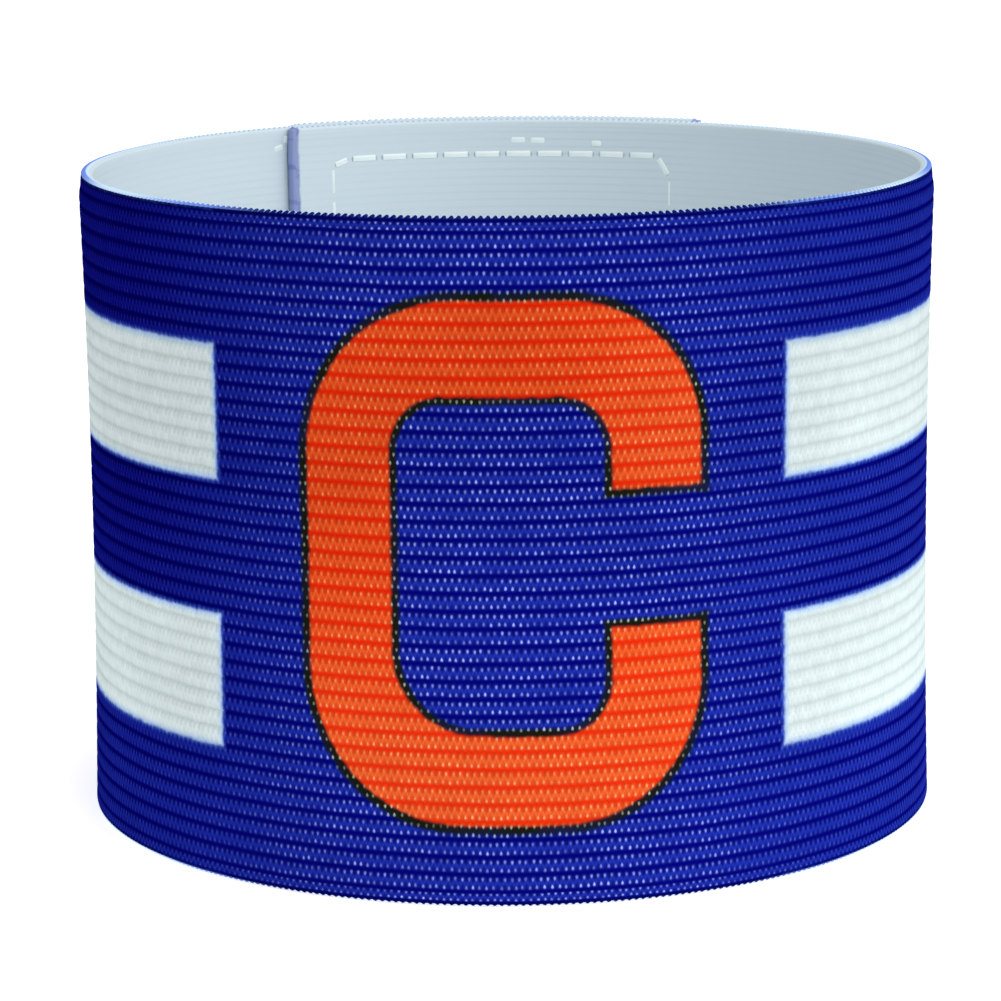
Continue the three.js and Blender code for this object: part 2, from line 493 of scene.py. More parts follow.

# %% [markdown]
# One ink on the weave has five tones: the crest of the rib, the strands that catch the light as a
# painted highlight, the valley between two ribs and the open hole, both darker with painted shade, and
# the pale speck. The same group lays each ink, so that blue, orange and white all follow the same yarn.

# %% The ink group
def ink_group():
    """The colour of one ink over the weave's masks."""
    masks = dict.fromkeys(("Groove", "Speck", "Strand", "Hole"), "Float")
    tones = dict.fromkeys(("Crest", "Groove Shade", "Hole Shade", "Pale", "Lit"), "Color")
    tree, given, result = new_group("ink_on_weave", {**masks, **tones}, {"Color": "Color"})
    # The strands get a painted highlight, and the grooves and holes get painted shade.
    colour = mix_colour(tree, calc(tree, "MULTIPLY", given["Strand"], 0.4), given["Crest"], given["Lit"])
    colour = mix_colour(tree, given["Groove"], colour, given["Groove Shade"])
    colour = mix_colour(tree, calc(tree, "MULTIPLY", given["Hole"], 0.75), colour, given["Hole Shade"])
    colour = mix_colour(tree, given["Speck"], colour, given["Pale"])
    feed(tree, result["Color"], colour)
    return tree


def ink_tones(crest, lit, groove_shade, hole_shade, pale):
    """The five tones of one ink, given as a screen shows them."""
    tones = {"Crest": crest, "Lit": lit, "Groove Shade": groove_shade, "Hole Shade": hole_shade, "Pale": pale}
    return {name: display_colour(*tone) for name, tone in tones.items()}


INK = ink_group()
INK_TONES = {
    "blue": ink_tones((20, 34, 142), (35, 53, 168), (3, 4, 110), (3, 4, 92), (162, 176, 250)),
    # Painted shade: the blue as the darker sides of the ring show it.
    "shaded blue": ink_tones((7, 8, 106), (18, 22, 124), (1, 0, 78), (1, 0, 74), (92, 100, 190)),
    "orange": ink_tones((206, 70, 27), (222, 92, 41), (212, 36, 7), (196, 38, 9), (240, 150, 98)),
    # Painted light: the orange where more light falls.
    "lit orange": ink_tones((214, 88, 40), (226, 106, 54), (218, 50, 16), (206, 50, 16), (244, 170, 122)),
    "white": ink_tones((202, 214, 215), (207, 220, 220), (187, 200, 200), (194, 207, 207), (210, 223, 223)),
}
print("inks:", ", ".join(INK_TONES))

# %% [markdown]
# The dyed cloth puts it together. Each step is a short function that takes the places on the cloth and
# gives one socket. The tape's own map gives the distance from the inner end and the height, and the dye
# attribute says where the surface is the printed face and where it is bare: the edges and the inside.
# The pale specks are strongest in front and fade towards the sides.

# %% Places on the cloth
FINE_WANDER = 0.2 * MM
SEAL_WANDER = 0.35 * MM

# Distances from the front to either side, where a change begins and where it ends.
SPECKS_FADE = (10 * MM, 38 * MM)
BACK_BEGINS = (75 * MM, 110 * MM)


def cloth_places(tree):
    """Where a point lies on the cloth, and the masks of the weave there."""
    tape = tree.nodes.new("ShaderNodeUVMap")
    tape.uv_map = "tape"
    split = tree.nodes.new("ShaderNodeSeparateXYZ")
    tree.links.new(tape.outputs["UV"], split.inputs["Vector"])
    distance, height = split.outputs["X"], split.outputs["Y"]
    flat = vector_of(tree, distance, height)
    dye = tree.nodes.new("ShaderNodeAttribute")
    dye.attribute_name = "dye"
    along = calc(tree, "SUBTRACT", FRONT_DISTANCE, distance)
    to_side = calc(tree, "ABSOLUTE", along)
    behind = soft_step(tree, to_side, *BACK_BEGINS)
    to_end = calc(tree, "MINIMUM", distance, calc(tree, "SUBTRACT", TAPE_LENGTH, distance))
    to_end = calc(tree, "ADD", to_end, wandering(tree, flat, 500, SEAL_WANDER))
    to_edge = calc(tree, "MINIMUM", height, calc(tree, "SUBTRACT", BAND_HEIGHT, height))

    weave = call_group(tree, WEAVE, Distance=distance, Height=height)
    masks = {name: weave[name] for name in ("Groove", "Speck", "Strand", "Hole")}
    showing = towards(tree, soft_step(tree, to_side, *SPECKS_FADE, 1.0, 0.09), 0.4, behind)
    masks["Speck"] = calc(tree, "MULTIPLY", masks["Speck"], showing)
    return {
        "flat": flat, "height": height, "along": along, "to_side": to_side, "behind": behind,
        "to_end": to_end, "to_edge": to_edge, "dyed": dye.outputs["Fac"],
        "fine": wandering(tree, flat, 1100, FINE_WANDER), "weave": weave, "masks": masks,
    }


print(f"front of the tape {FRONT_DISTANCE / MM:.0f} mm from its inner end")

# %% [markdown]
# The blue is painted darker at the sides as shade, most of all on the left and towards the top, and a
# little at the back. A wave of height gives the bars their long edges, and the plain front lies between
# their ends. White and blue have run into each other there, in a narrow pale fringe, and yarn moves the
# edge by a fraction of a pick.

# %% The ground and its bars
BAR_EDGE = (-0.15 * MM, 0.25 * MM)
FRINGE_WIDTH = 0.7 * MM
FRINGE_MIDDLE = 0.12 * MM
FRINGE_TURN = (-0.3 * MM, 0.35 * MM)
FRINGE_BLUE = display_colour(52, 82, 192)
FRINGE_PALE = display_colour(158, 190, 226)

# Places along the print, from the front and negative to the left, where the painted shade begins and ends.
SHADE_LEFT = (-48 * MM, -12 * MM)
SHADE_RIGHT = (20 * MM, 50 * MM)


def shaded_blue_ground(tree, cloth, inks):
    """Blue with painted shade at the sides, more so towards the top, and partly at the back."""
    left = soft_step(tree, cloth["along"], *SHADE_LEFT, 1.0, 0.0)
    right = soft_step(tree, cloth["along"], *SHADE_RIGHT, 0.0, 0.25)
    upwards = soft_step(tree, cloth["height"], 0.0, 0.6 * BAND_HEIGHT, 0.5, 1.0)
    # Painted shade, strongest on the left and towards the top.
    shade_share = calc(tree, "MULTIPLY", calc(tree, "ADD", left, right), upwards)
    shade_share = towards(tree, shade_share, 0.6, cloth["behind"])
    return mix_colour(tree, shade_share, inks["blue"], inks["shaded blue"])


def add_bars(tree, cloth, inks, ground):
    """White bars on the ground, with their fringe."""
    from_edge = calc(tree, "PINGPONG", cloth["height"], BAR_HEIGHT)
    bar_row = calc(tree, "FRACT", calc(tree, "DIVIDE", cloth["height"], 2 * BAR_HEIGHT))
    odd = calc(tree, "GREATER_THAN", bar_row, 0.5)
    inward = calc(tree, "MINIMUM", from_edge, calc(tree, "SUBTRACT", BAR_HEIGHT, from_edge))
    signed = calc(tree, "MULTIPLY", inward, calc(tree, "SUBTRACT", calc(tree, "MULTIPLY", odd, 2.0), 1.0))
    left_of = calc(tree, "SUBTRACT", BAR_LEFT_END, cloth["along"])
    right_of = calc(tree, "SUBTRACT", cloth["along"], BAR_RIGHT_END)
    bar = calc(tree, "MINIMUM", signed, calc(tree, "MAXIMUM", left_of, right_of))
    bar = calc(tree, "ADD", bar, cloth["fine"])
    in_bar = soft_step(tree, bar, *BAR_EDGE)
    face = mix_colour(tree, in_bar, ground, inks["white"])

    off_fringe = calc(tree, "ABSOLUTE", calc(tree, "SUBTRACT", bar, FRINGE_MIDDLE))
    fringe = soft_step(tree, off_fringe, 0.1 * MM, FRINGE_WIDTH, 0.85, 0.0)
    streaks = soft_step(tree, cloth["weave"]["Strand"], 0.0, 1.0, 0.6, 1.0)
    across_fringe = soft_step(tree, bar, *FRINGE_TURN)
    fringe_tone = mix_colour(tree, across_fringe, FRINGE_BLUE, FRINGE_PALE)
    return mix_colour(tree, calc(tree, "MULTIPLY", fringe, streaks), face, fringe_tone)


print(f"bars end {BAR_LEFT_END / MM:.1f} and {BAR_RIGHT_END / MM:.1f} mm from the front")

# %% [markdown]
# The letter's outline wanders a little with the yarn, and a dark line lies where its ink meets the
# blue. The line is broader round the letter's body than in its opening. The orange is painted lighter
# at the foot of the letter and on its right, where more light falls.

# %% The letter on the cloth
LETTER_EDGE = (-0.3 * MM, 0.15 * MM)
OUTLINE_WIDTH = 1.1 * MM
INNER_OUTLINE_WIDTH = 0.9 * MM
OUTLINE_OLIVE = display_colour(22, 24, 12)
OUTLINE_NAVY = display_colour(6, 22, 40)
OUTLINE_SPECK = display_colour(178, 194, 160)
SLOW_WANDER = 0.12 * MM
LIT_FOOT = (12 * MM, 34 * MM)
LIT_RIGHT = (6 * MM, 18 * MM)


def add_letter(tree, cloth, inks, ground):
    """The orange letter on the ground, with its dark line."""
    # Painted light: lighter orange at the foot of the letter and on its right.
    lit_share = soft_step(tree, cloth["height"], *LIT_FOOT, 0.7, 0.0)
    lit_share = calc(tree, "MAXIMUM", lit_share, soft_step(tree, cloth["along"], *LIT_RIGHT, 0.0, 0.55))
    orange = mix_colour(tree, lit_share, inks["orange"], inks["lit orange"])

    outline = call_group(tree, LETTER, Along=cloth["along"], Up=cloth["height"])
    slow = wandering(tree, cloth["flat"], 150, SLOW_WANDER)
    letter = calc(tree, "ADD", outline["Distance"], calc(tree, "ADD", cloth["fine"], slow))
    in_letter = soft_step(tree, letter, *LETTER_EDGE, 1.0, 0.0)
    reach = soft_step(tree, outline["Body"], -1.0 * MM, 0.0, INNER_OUTLINE_WIDTH, OUTLINE_WIDTH)
    outer_side = soft_step(tree, letter, calc(tree, "MULTIPLY", reach, 0.35), reach, 1.0, 0.0)
    inner_side = soft_step(tree, letter, -0.5 * MM, 0.0)
    line = calc(tree, "MULTIPLY", outer_side, inner_side)
    worn = soft_step(tree, noise(tree, cloth["flat"], 130), 0.35, 0.6, 0.88, 1.0)
    line = calc(tree, "MULTIPLY", line, worn)

    face = mix_colour(tree, in_letter, ground, orange)
    outwards = soft_step(tree, letter, 0.1 * MM, OUTLINE_WIDTH)
    line_tone = mix_colour(tree, outwards, OUTLINE_OLIVE, OUTLINE_NAVY)
    line_tone = mix_colour(tree, cloth["masks"]["Speck"], line_tone, OUTLINE_SPECK)
    return mix_colour(tree, line, face, line_tone)


print(f"dark line {INNER_OUTLINE_WIDTH / MM:.1f} to {OUTLINE_WIDTH / MM:.1f} mm wide")

# %% [markdown]
# The dye took a little unevenly, in slow clouds and from yarn to yarn. The face is also painted darker
# towards the top and at the selvedges, as shade. Inside, and over the edge to the face, come bare yarn,
# a pale wash of dye, a light blue and then full ink. The cut ends of the tape are sealed by heat, which
# draws some blue dye into them.

# %% The dye and the bare inside
EDGE_SHADE = (0.3 * MM, 0.7 * MM)
SEAL_WIDTH = 0.9 * MM
BARE_YARN = display_colour(203, 216, 223)
BARE_LINE_SHADE = display_colour(196, 210, 217)
PALE_WASH = display_colour(200, 224, 244)
LIGHT_BLUE = display_colour(110, 142, 228)
SEALED_YARN = display_colour(146, 158, 202)
SEALED_BLOTCH = display_colour(112, 120, 176)
MELTED_INK = display_colour(6, 6, 62)


def dye_unevenly_with_shade(tree, cloth, face):
    """The printed face, unevenly dyed, with painted shade towards the top and along the edges."""
    clouds = soft_step(tree, noise(tree, cloth["flat"], 55, 3.0), 0.3, 0.7, 0.95, 1.05)
    # Painted shade: darker towards the top, and within a fraction of a millimetre of either edge.
    painted_shade_up = soft_step(tree, cloth["height"], 0.0, BAND_HEIGHT, 1.05, 0.87)
    clouds = calc(tree, "MULTIPLY", clouds, painted_shade_up)
    clouds = calc(tree, "MULTIPLY", clouds, soft_step(tree, cloth["to_edge"], *EDGE_SHADE, 0.6, 1.0))
    by_yarn = calc(tree, "MULTIPLY", calc(tree, "SUBTRACT", cloth["weave"]["Fleck"], 0.5), 0.08)
    shade = tree.nodes.new("ShaderNodeHueSaturation")
    feed(tree, shade.inputs["Value"], calc(tree, "ADD", clouds, by_yarn))
    feed(tree, shade.inputs["Color"], face)
    return shade.outputs["Color"]


def rubber_lines(tree, cloth):
    """The faint lines over the rubber threads, stronger in some places than in others: a slight bump and
    painted shade.
    """
    strength = soft_step(tree, noise(tree, cloth["flat"], 35), 0.35, 0.65, 0.2, 0.8)
    return calc(tree, "MULTIPLY", cloth["weave"]["Thread"], strength)


def bare_inside(tree, cloth, lines):
    """Bare yarn with painted shade along its lines, the dye that reached the edge, and the sealed ends."""
    # Painted shade along the lines over the rubber threads.
    inside = mix_colour(tree, lines, BARE_YARN, BARE_LINE_SHADE)
    inside = mix_colour(tree, soft_step(tree, cloth["dyed"], 0.0, 0.3), inside, PALE_WASH)
    inside = mix_colour(tree, soft_step(tree, cloth["dyed"], 0.32, 0.6), inside, LIGHT_BLUE)
    blotch = soft_step(tree, noise(tree, cloth["flat"], 760), 0.52, 0.66)
    near_top = soft_step(tree, cloth["height"], 0.75 * BAND_HEIGHT, 0.92 * BAND_HEIGHT, 0.1, 0.65)
    blotch = calc(tree, "MULTIPLY", blotch, near_top)
    sealed_tone = mix_colour(tree, blotch, SEALED_YARN, SEALED_BLOTCH)
    sealed = soft_step(tree, cloth["to_end"], 0.6 * SEAL_WIDTH, SEAL_WIDTH, 1.0, 0.0)
    return mix_colour(tree, sealed, inside, sealed_tone)


print(f"ends sealed over {SEAL_WIDTH / MM:.1f} mm")

# %% [markdown]
# The last step joins the face and the inside, and adds the relief of the yarn as a bump: strands and
# specks stand up, and grooves and holes lie low. It is flatter at the sides and very slight inside.
# Where heat has melted an end, the surface is smoother.

# %% The elastic material
CLOTH_BUMP = 0.08 * MM
RELIEF_FADES = (20 * MM, 55 * MM)


def cloth_relief(tree, cloth, lines):
    """How high the yarn stands."""
    weave = cloth["weave"]
    yarn = calc(tree, "MULTIPLY", calc(tree, "ADD", weave["Strand"], weave["Speck"]), 0.5)
    relief = calc(tree, "SUBTRACT", yarn, calc(tree, "MULTIPLY", weave["Hole"], 0.8))
    relief = calc(tree, "SUBTRACT", relief, calc(tree, "MULTIPLY", weave["Groove"], 0.5))
    relief = calc(tree, "MULTIPLY", relief, soft_step(tree, cloth["to_side"], *RELIEF_FADES, 1.0, 0.5))
    inner_relief = calc(tree, "MULTIPLY", lines, -0.12)
    return towards(tree, inner_relief, relief, soft_step(tree, cloth["dyed"], 0.3, 0.9))


def elastic_material():
    """Printed ribbed elastic, bare inside."""
    material, tree, shader = new_material("printed_elastic")
    cloth = cloth_places(tree)
    inks = {}
    for name, tones in INK_TONES.items():
        inks[name] = call_group(tree, INK, **cloth["masks"], **tones)["Color"]
    face = add_bars(tree, cloth, inks, shaded_blue_ground(tree, cloth, inks))
    face = add_letter(tree, cloth, inks, face)
    face = dye_unevenly_with_shade(tree, cloth, face)
    melted = soft_step(tree, cloth["to_end"], 0.4 * SEAL_WIDTH, 0.7 * SEAL_WIDTH, 0.8, 0.0)
    face = mix_colour(tree, melted, face, MELTED_INK)
    lines = rubber_lines(tree, cloth)
    inside = bare_inside(tree, cloth, lines)
    colour = mix_colour(tree, soft_step(tree, cloth["dyed"], 0.6, 0.9), inside, face)
    feed(tree, shader.inputs["Base Color"], colour)
    feed(tree, shader.inputs["Normal"], bumped(tree, cloth_relief(tree, cloth, lines), CLOTH_BUMP))
    rough = soft_step(tree, cloth["weave"]["Speck"], 0.0, 1.0, 0.9, 0.65)
    rough = calc(tree, "SUBTRACT", rough, calc(tree, "MULTIPLY", melted, 0.4))
    feed(tree, shader.inputs["Roughness"], rough)
    shader.inputs["Specular IOR Level"].default_value = 0.0
    return material


ELASTIC = elastic_material()
print("elastic:", len(ELASTIC.node_tree.nodes), "nodes")

# %% [markdown]
# The band is drawn once, as the outline of the tape's cut end, and swept along the flat tape. A rib
# has five points, close together at the groove and wide apart over the crest, which reads as a round
# rib with a narrow groove. The inside is smooth but for the bump of its threads. The sweep is a spin
# with no angle, which repeats the outline along a line and joins the copies with faces.

# %% The band
SWEEP_STEPS = 300
RIB_POINTS = (0.0, 0.08, 0.3, 0.7, 0.92)
RIB_RELIEF = 0.09 * MM
RIB_FULLNESS = 0.45
FACE_MARGIN = 0.4 * SELVEDGE_WIDTH
RIM_ROUND = 0.35 * MM
RIM_STEPS = 4
RIM_DROP = 0.14 * MM
OUTER_RIM_DYE = (1.0, 1.0, 0.72, 0.4)
INNER_RIM_DYE = (0.0, 0.0, 0.0, 0.06)
SEAL_BULGE = 0.12 * MM
SEAL_THINNING = 0.25
SEAL_NARROWING = 0.003


def rib_out(share):
    """How far the outer face stands out at a share of one rib's height."""
    return RIB_RELIEF * (math.sin(math.pi * share) ** RIB_FULLNESS - 1)


def face_rows(points_of_rib):
    """Heights up the tape, with the share of the rib that each one is at."""
    rows = []
    for rib in range(-1, RIB_COUNT + 1):
        for share in points_of_rib:
            height = SELVEDGE_WIDTH + (rib + share) * RIB_PITCH
            if FACE_MARGIN < height < BAND_HEIGHT - FACE_MARGIN:
                rows.append((height, share))
    return rows


def rim_row():
    """The upper edge of the tape, from its outer face over to its inner face."""
    rows = []
    for side, out, dyes in ((1, -RIM_ROUND, OUTER_RIM_DYE), (-1, RIM_ROUND - BAND_WALL, INNER_RIM_DYE)):
        corner = []
        for i in range(RIM_STEPS):
            angle = math.radians(90) * i / (RIM_STEPS - 1)
            reach = RIM_ROUND * math.cos(angle)
            height = BAND_HEIGHT - RIM_DROP - RIM_ROUND + RIM_ROUND * math.sin(angle)
            corner.append((out + side * reach, height, dyes[i]))
        rows += corner if side == 1 else reversed(corner)
    return rows


def tape_outline():
    """The cut end of the tape as (out, height, dye), once round: up the face and down the inside."""
    rows = [(rib_out(share), height, 1.0) for height, share in face_rows(RIB_POINTS)]
    rows += rim_row()
    rows += [(-BAND_WALL, height, 0.0) for height, share in reversed(face_rows((0.0,)))]
    return rows + [(out, BAND_HEIGHT - height, dyed) for out, height, dyed in reversed(rim_row())]


def close_end(bm, rim, outward):
    """Closes one cut end of the tape with a slightly narrower, sealed face."""
    dye = bm.verts.layers.float["dye"]
    grown = bmesh.ops.extrude_edge_only(bm, edges=rim)["geom"]
    new_edges = [item for item in grown if isinstance(item, bmesh.types.BMEdge)]
    end_edges = [edge for edge in new_edges if all(vert in grown for vert in edge.verts)]
    end_verts = {vert for edge in end_edges for vert in edge.verts}
    for vert in end_verts:
        vert.co.x += outward * SEAL_BULGE
        vert.co.y += (-BAND_WALL / 2 - vert.co.y) * SEAL_THINNING
        vert.co.z += (BAND_HEIGHT / 2 - vert.co.z) * SEAL_NARROWING
        vert[dye] = 0.0
    bmesh.ops.triangle_fill(bm, use_beauty=True, use_dissolve=False, edges=end_edges)


def make_band():
    """The ribbed tape, swept along its length and rolled onto the ring."""
    bm = bmesh.new()
    dye = bm.verts.layers.float.new("dye")
    verts = []
    for out, height, dyed in tape_outline():
        vert = bm.verts.new((0, out, height))
        vert[dye] = dyed
        verts.append(vert)
    edges = [bm.edges.new(pair) for pair in zip(verts, verts[1:] + verts[:1])]
    step = Vector((TAPE_LENGTH / SWEEP_STEPS, 0, 0))
    swept = bmesh.ops.spin(
        bm, geom=verts + edges, cent=(0, 0, 0), axis=(0, 0, 1), dvec=step,
        angle=0, steps=SWEEP_STEPS, use_merge=False, use_duplicate=False,
    )
    last = [item for item in swept["geom_last"] if isinstance(item, bmesh.types.BMEdge)]
    for rim, outward in ((edges, -1), (last, 1)):
        close_end(bm, rim, outward)
    bmesh.ops.recalc_face_normals(bm, faces=bm.faces)
    roll_onto_ring(bm)
    return piece_from(bm, "band_cloth", ELASTIC)


band = make_band()
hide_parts("band")

# %% [markdown]
# The selvedges. Along both edges of the tape the weft turns round and shows as a row of small loops.
# One loop is a six-sided yarn bent over the edge by a half spin. It is broad where it leaves the cloth
# and narrow at its turn, so the row looks like small teeth. It is copied once for every pick. The
# print reaches the outer side of the loops in front, where it was pressed hardest, colours them less
# at the sides and hardly at the back. Their inner side is bare.

# %% The selvedge loops
LOOP_YARN_RADIUS = 0.19 * MM
LOOP_REACH = 0.28 * MM
LOOP_MIDDLE = -0.48 * MM
LOOP_TOP = 0.06 * MM
LOOP_FLATNESS = 0.6
LOOP_STEPS = 6
LOOP_LEAN = 0.03
LOOP_FOOT_WIDTH = 1.8
LOOP_TIP_WIDTH = 0.45
LOOP_DYE = 0.2
LOOP_DYE_REACH = (-0.56 * MM, -0.5 * MM)
LOOP_FADING = (15 * MM, 50 * MM)
LOOP_SIDE_START = (50 * MM, 66 * MM)
LOOP_SIDE_END = (78 * MM, 96 * MM)
LOOP_DYE_LOST = 0.82
LOOP_SIDE_DYE = 0.3


def loop_template():
    """One loop over the upper edge of the flat tape, at distance 0."""
    bm = bmesh.new()
    ring = bmesh.ops.create_circle(bm, segments=6, radius=LOOP_YARN_RADIUS)["verts"]
    centre = Vector((0, LOOP_MIDDLE, BAND_HEIGHT - LOOP_FLATNESS * (LOOP_REACH + LOOP_YARN_RADIUS)))
    bmesh.ops.translate(bm, verts=ring, vec=centre + Vector((0, LOOP_REACH, 0)))
    rim = list({edge for vert in ring for edge in vert.link_edges})
    bmesh.ops.spin(
        bm, geom=ring + rim, cent=centre, axis=(1, 0, 0), angle=math.pi,
        steps=LOOP_STEPS, use_merge=False, use_duplicate=False,
    )
    for vert in bm.verts:
        rise = (vert.co.z - centre.z) / (LOOP_REACH + LOOP_YARN_RADIUS)
        vert.co.x *= LOOP_FOOT_WIDTH + (LOOP_TIP_WIDTH - LOOP_FOOT_WIDTH) * rise
        vert.co.x += LOOP_LEAN * PICK * (vert.co.y - centre.y) / LOOP_REACH
        vert.co.z = centre.z + LOOP_FLATNESS * (vert.co.z - centre.z)
    bmesh.ops.recalc_face_normals(bm, faces=bm.faces)
    mesh = bpy.data.meshes.new("loop_template")
    bm.to_mesh(mesh)
    bm.free()
    return mesh


def make_selvedge(name, upper):
    """A row of loops along one edge of the tape."""
    template = loop_template()
    bm = bmesh.new()
    dye = bm.verts.layers.float.new("dye")
    for pick in range(int(TAPE_LENGTH / PICK)):
        count = len(bm.verts)
        bm.from_mesh(template)
        bm.verts.ensure_lookup_table()
        move = Vector(((pick + 0.5) * PICK, 0, 0))
        bmesh.ops.translate(bm, verts=bm.verts[count:], vec=move)
    for vert in bm.verts:
        from_front = abs(vert.co.x - FRONT_DISTANCE)
        faded = smooth_rise(from_front, *LOOP_FADING)
        at_side = smooth_rise(from_front, *LOOP_SIDE_START) - smooth_rise(from_front, *LOOP_SIDE_END)
        strength = 1 - LOOP_DYE_LOST * faded + LOOP_SIDE_DYE * at_side
        dyed = smooth_rise(vert.co.y, *LOOP_DYE_REACH) * strength
        vert[dye] = LOOP_DYE + (1 - LOOP_DYE) * dyed
        vert.co.z = vert.co.z + LOOP_TOP if upper else BAND_HEIGHT - vert.co.z
    if not upper:
        bmesh.ops.reverse_faces(bm, faces=bm.faces)
    bpy.data.meshes.remove(template)
    roll_onto_ring(bm)
    return piece_from(bm, name, ELASTIC)


selvedges = [make_selvedge("upper_selvedge", True), make_selvedge("lower_selvedge", False)]

# %% [markdown]
# The sewing thread. A lockstitch shows as a row of flat dashes that dive into the cloth at the needle
# holes. The seam is a path on the flat tape, given as corners with a number of stitches to each. A
# stitch runs straight from one hole to the next, and now and then it cuts a corner, as a real one
# does. One stitch is a sphere pulled apart into a capsule and pressed flat. Inside the ring, stitches
# that run up or down also sink a little into the cloth.

# %% Thread material and stitches
STITCH_GAP = 0.3 * MM
THREAD_WIDTH = 0.76 * MM
THREAD_HEIGHT = 0.15 * MM
THREAD_PROUD = 0.02 * MM
THREAD_DIVE = 0.2 * MM
THREAD_SUNK = 0.06 * MM
THREAD_TURNS = 9
THREAD_BUMP = 0.01 * MM
DIVE_SHARPNESS = 12
SINK_SHARPNESS = 4
THREAD_WHITE = display_colour(229, 240, 240)
THREAD_SHINE = display_colour(237, 246, 246)
THREAD_HOLE_SHADE = display_colour(138, 152, 160)


def thread_material():
    """Twisted white sewing thread, painted grey at its ends as the shade in the needle holes."""
    material, tree, shader = new_material("sewing_thread")
    tape = tree.nodes.new("ShaderNodeUVMap")
    tape.uv_map = "thread"
    wave = tree.nodes.new("ShaderNodeTexWave")
    wave.bands_direction = "DIAGONAL"
    wave.inputs["Scale"].default_value = THREAD_TURNS
    tree.links.new(tape.outputs["UV"], wave.inputs["Vector"])
    lay = wave.outputs["Fac"]
    split = tree.nodes.new("ShaderNodeSeparateXYZ")
    tree.links.new(tape.outputs["UV"], split.inputs["Vector"])
    # Painted shade: the ends of each stitch darken where the thread dives into its needle hole.
    needle_hole_shade = soft_step(tree, calc(tree, "ABSOLUTE", split.outputs["X"]), 0.38, 0.46)
    lit = mix_colour(tree, lay, THREAD_WHITE, THREAD_SHINE)
    feed(tree, shader.inputs["Base Color"], mix_colour(tree, needle_hole_shade, lit, THREAD_HOLE_SHADE))
    feed(tree, shader.inputs["Roughness"], soft_step(tree, lay, 0.0, 1.0, 0.75, 0.6))
    feed(tree, shader.inputs["Normal"], bumped(tree, lay, THREAD_BUMP))
    return material


THREAD = thread_material()


def needle_holes(seam):
    """The holes along a seam, given as its first corner and then corners with stitch counts."""
    holes = [Vector((seam[0]["along"], seam[0]["up"]))]
    for corner in seam[1:]:
        start, end = holes[-1], Vector((corner["along"], corner["up"]))
        for i in range(1, corner["stitches"] + 1):
            holes.append(start.lerp(end, i / corner["stitches"]))
    return holes


def add_stitch(bm, start, end, out, side):
    """One stitch between two needle holes, on the face at out, bulging to the given side."""
    uv_map = bm.loops.layers.uv.get("thread") or bm.loops.layers.uv.new("thread")
    made = bmesh.ops.create_uvsphere(bm, u_segments=10, v_segments=7, radius=THREAD_WIDTH / 2)["verts"]
    run = end - start
    half = (run.length - STITCH_GAP) / 2
    for vert in made:
        vert.co = Vector((vert.co.z, vert.co.x * THREAD_HEIGHT / THREAD_WIDTH, vert.co.y))
        vert.co.x += math.copysign(half - THREAD_WIDTH / 2, vert.co.x)
    for face in {face for vert in made for face in vert.link_faces}:
        for loop in face.loops:
            spot = loop.vert.co
            loop[uv_map].uv = (spot.x / (2 * half), math.atan2(spot.z, side * spot.y) / math.tau)
    sunk = THREAD_SUNK * (run.y / run.length) ** SINK_SHARPNESS if side < 0 else 0
    for vert in made:
        dive = THREAD_DIVE * abs(vert.co.x / half) ** DIVE_SHARPNESS
        vert.co.y += side * (THREAD_PROUD - sunk - dive)
    middle = (start + end) / 2
    turn = Matrix.Rotation(-math.atan2(run.y, run.x), 4, "Y")
    place = Matrix.Translation((middle.x, out, middle.y)) @ turn
    bmesh.ops.transform(bm, matrix=place, verts=made)


def sew(name, seams, out, side):
    """Stitches along every seam on one face of the tape."""
    bm = bmesh.new()
    for seam in seams:
        holes = needle_holes(seam)
        for start, end in zip(holes, holes[1:]):
            add_stitch(bm, start, end, out, side)
    roll_onto_ring(bm)
    return piece_from(bm, name, THREAD)


# %% [markdown]
# A box of stitches holds the loop tape on the inner end, and its thread shows inside the ring. The
# hook tape has a box of its own on the outer end, whose thread shows outside, at the back. Above the
# inner box are stray stitches, where the machine set out. Two more tack the outer ply, close to where
# the inner end crosses it.

# %% The stitched boxes
SEAM_EDGE_MARGIN = 4.0 * MM
SEAM_LOW = SEAM_EDGE_MARGIN
SEAM_HIGH = BAND_HEIGHT - SEAM_EDGE_MARGIN - 0.2 * MM
INNER_SEAM_START = 5.4 * MM
INNER_SEAM_END = 47.9 * MM
OUTER_SEAM_START = RING_LENGTH + 4.0 * MM
OUTER_SEAM_END = RING_LENGTH + 46.4 * MM

INNER_SEAM = (
    {"along": INNER_SEAM_START, "up": SEAM_LOW},
    {"along": INNER_SEAM_START, "up": SEAM_HIGH - 0.7 * MM, "stitches": 16},
    {"along": INNER_SEAM_START + 2.2 * MM, "up": SEAM_HIGH, "stitches": 1},
    {"along": INNER_SEAM_END - 1.7 * MM, "up": SEAM_HIGH, "stitches": 10},
    {"along": INNER_SEAM_END, "up": SEAM_HIGH - 2.5 * MM, "stitches": 1},
    {"along": INNER_SEAM_END, "up": SEAM_LOW, "stitches": 15},
    {"along": INNER_SEAM_START, "up": SEAM_LOW, "stitches": 11},
)
OUTER_SEAM = (
    {"along": OUTER_SEAM_START, "up": SEAM_LOW},
    {"along": OUTER_SEAM_START, "up": SEAM_HIGH, "stitches": 16},
    {"along": OUTER_SEAM_END - 0.8 * MM, "up": SEAM_HIGH, "stitches": 11},
    {"along": OUTER_SEAM_END, "up": SEAM_HIGH - 2.4 * MM, "stitches": 1},
    {"along": OUTER_SEAM_END, "up": SEAM_LOW, "stitches": 15},
    {"along": OUTER_SEAM_START, "up": SEAM_LOW, "stitches": 11},
)
STRAY_STITCHES = (
    {"along": 27.6 * MM, "up": 67.5 * MM},
    {"along": 32.4 * MM, "up": 67.4 * MM, "stitches": 2},
)
